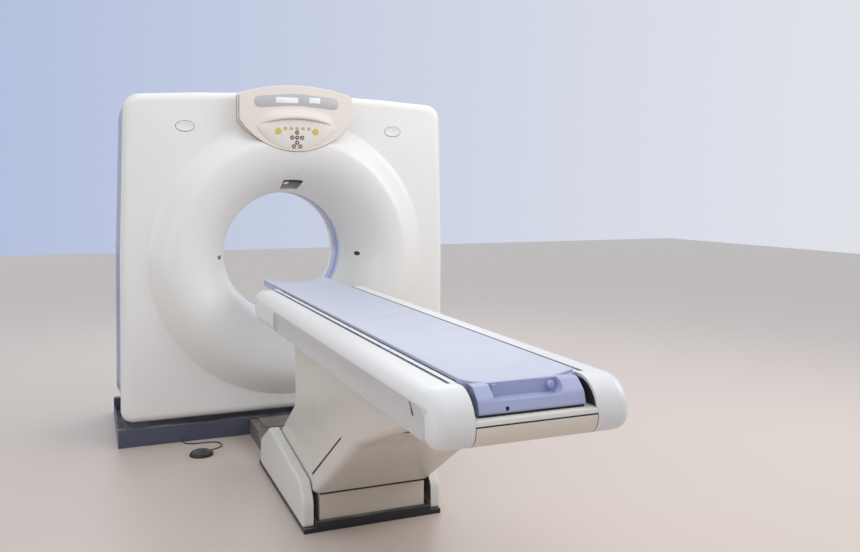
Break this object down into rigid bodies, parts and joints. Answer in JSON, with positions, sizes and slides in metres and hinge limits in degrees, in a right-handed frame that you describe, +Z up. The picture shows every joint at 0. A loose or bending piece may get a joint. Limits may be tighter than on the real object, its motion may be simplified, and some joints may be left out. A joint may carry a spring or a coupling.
{
  "type": "ct_scanner",
  "caption": "CT scanner with a tilting ring gantry, console above the aperture, and a patient table on a flared pedestal with a sliding cradle and a foot switch.",
  "frame": {"origin": "On the floor directly below the isocentre, at the middle of the gantry's depth, where the floor anchor pattern is centred.", "axes": "+X to the right seen from the foot end of the table, +Y along the patient axis from the table into the gantry, +Z up."},
  "size_m": [1.85, 3.56, 1.9145],
  "materials": {
    "frame_paint": "satin",
    "steel": "satin",
    "aluminium_plate": "satin",
    "machine_paint": "satin",
    "rubber_black": "matte",
    "black_plastic": "matte",
    "brass_rings": "satin",
    "white_plastic": "satin",
    "blue_plastic": "satin",
    "cream_plastic": "satin",
    "grey_plastic": "matte",
    "yellow_plastic": "gloss",
    "key_plastic": "matte",
    "greige_plastic": "satin",
    "duct_paint": "matte",
    "lavender": "satin"
  },
  "bodies": {
    "base": {"gantry_base": "frame_paint", "stanchions": "frame_paint", "trunnion_bearings": "steel", "tilt_gearmotor": "machine_paint", "floor_duct": "duct_paint", "table_base": "frame_paint", "base_wings": "greige_plastic", "base_front_panel": "greige_plastic", "lift_cylinder": "steel", "switch_base": "black_plastic", "switch_cord": "black_plastic"},
    "pedal": {"switch_pedal": "black_plastic"},
    "gantry": {"tilt_frame": "frame_paint", "trunnion_pins": "steel", "bearing_outer_ring": "steel", "drive_motor": "machine_paint", "drive_belt": "rubber_black", "brush_block": "black_plastic", "front_cover": "white_plastic", "rear_cover": "white_plastic", "side_covers": "blue_plastic", "top_cover": "white_plastic", "bore_liner": "blue_plastic", "scan_window": "black_plastic", "light_windows": "black_plastic", "cover_caps": "white_plastic", "console_housing": "cream_plastic", "display_strip": "grey_plastic", "keypad_panel": "cream_plastic", "indicator_lamps": "yellow_plastic"},
    "rotor": {"rotor_disc": "aluminium_plate", "bearing_inner_ring": "steel", "xray_tube": "machine_paint", "collimator": "machine_paint", "generator_tanks": "machine_paint", "detector_arc": "machine_paint", "data_unit": "black_plastic", "slip_ring": "brass_rings"},
    "drive_pulley": {"motor_pulley": "steel"},
    "landmark_left": {"landmark_button_left": "yellow_plastic"},
    "landmark_right": {"landmark_button_right": "yellow_plastic"},
    "up_key": {"key_up": "key_plastic"},
    "left_key": {"key_left": "key_plastic"},
    "home_key": {"key_home": "key_plastic"},
    "right_key": {"key_right": "key_plastic"},
    "down_key": {"key_down": "key_plastic"},
    "in_key": {"key_in": "key_plastic"},
    "out_key": {"key_out": "key_plastic"},
    "pedestal": {"pedestal_cover": "greige_plastic"},
    "table": {"table_chassis": "machine_paint", "lift_ram": "steel", "table_cover_left": "white_plastic", "table_cover_right": "white_plastic", "cover_strips": "steel", "foot_lip": "cream_plastic", "foot_panel": "white_plastic"},
    "cradle_body": {"cradle": "lavender", "cradle_mat": "lavender", "handle_block": "lavender"},
    "knob": {"release_knob": "lavender"}
  },
  "joints": [
    {"name": "gantry_tilt", "type": "hinge", "parent": "base", "child": "gantry", "pos_m": [0, 0, 0.985], "axis": [-1, 0, 0], "range_deg": [-20, 20]},
    {"name": "rotor_spin", "type": "hinge", "parent": "gantry", "child": "rotor", "pos_m": [0, 0.075, 0.985], "axis": [0, 1, 0], "continuous": true},
    {"name": "motor_pulley_spin", "type": "hinge", "parent": "gantry", "child": "drive_pulley", "pos_m": [0.62, 0.1, 0.385], "axis": [0, 1, 0], "continuous": true},
    {"name": "table_lift", "type": "slide", "parent": "base", "child": "table", "axis": [0, 0, 1], "range_m": [-0.22, 0.06]},
    {"name": "pedestal_follow", "type": "slide", "parent": "base", "child": "pedestal", "axis": [0, 0, 1], "range_m": [-0.11, 0.03]},
    {"name": "cradle_slide", "type": "slide", "parent": "table", "child": "cradle_body", "axis": [0, 1, 0], "range_m": [0, 1.5]},
    {"name": "knob_turn", "type": "hinge", "parent": "cradle_body", "child": "knob", "pos_m": [0.077, -3.06, 0.826], "axis": [0, 1, 0], "range_deg": [0, 90]},
    {"name": "pedal_press", "type": "slide", "parent": "base", "child": "pedal", "axis": [0, 0, -1], "range_m": [0, 0.004], "stiffness_N_per_m": 2500, "springref_m": -0.0012},
    {"name": "landmark_left_press", "type": "slide", "parent": "gantry", "child": "landmark_left", "axis": [0, 1, 0], "range_m": [0, 0.0025], "stiffness_N_per_m": 400, "springref_m": -0.001},
    {"name": "landmark_right_press", "type": "slide", "parent": "gantry", "child": "landmark_right", "axis": [0, 1, 0], "range_m": [0, 0.0025], "stiffness_N_per_m": 400, "springref_m": -0.001},
    {"name": "up_press", "type": "slide", "parent": "gantry", "child": "up_key", "axis": [0, 1, 0], "range_m": [0, 0.0025], "stiffness_N_per_m": 400, "springref_m": -0.001},
    {"name": "left_press", "type": "slide", "parent": "gantry", "child": "left_key", "axis": [0, 1, 0], "range_m": [0, 0.0025], "stiffness_N_per_m": 400, "springref_m": -0.001},
    {"name": "home_press", "type": "slide", "parent": "gantry", "child": "home_key", "axis": [0, 1, 0], "range_m": [0, 0.0025], "stiffness_N_per_m": 400, "springref_m": -0.001},
    {"name": "right_press", "type": "slide", "parent": "gantry", "child": "right_key", "axis": [0, 1, 0], "range_m": [0, 0.0025], "stiffness_N_per_m": 400, "springref_m": -0.001},
    {"name": "down_press", "type": "slide", "parent": "gantry", "child": "down_key", "axis": [0, 1, 0], "range_m": [0, 0.0025], "stiffness_N_per_m": 400, "springref_m": -0.001},
    {"name": "in_press", "type": "slide", "parent": "gantry", "child": "in_key", "axis": [0, 1, 0], "range_m": [0, 0.0025], "stiffness_N_per_m": 400, "springref_m": -0.001},
    {"name": "out_press", "type": "slide", "parent": "gantry", "child": "out_key", "axis": [0, 1, 0], "range_m": [0, 0.0025], "stiffness_N_per_m": 400, "springref_m": -0.001}
  ],
  "couplings": [
    {"joint": "motor_pulley_spin", "follows": "rotor_spin", "ratio": 12},
    {"joint": "pedestal_follow", "follows": "table_lift", "ratio": 0.5}
  ]
}
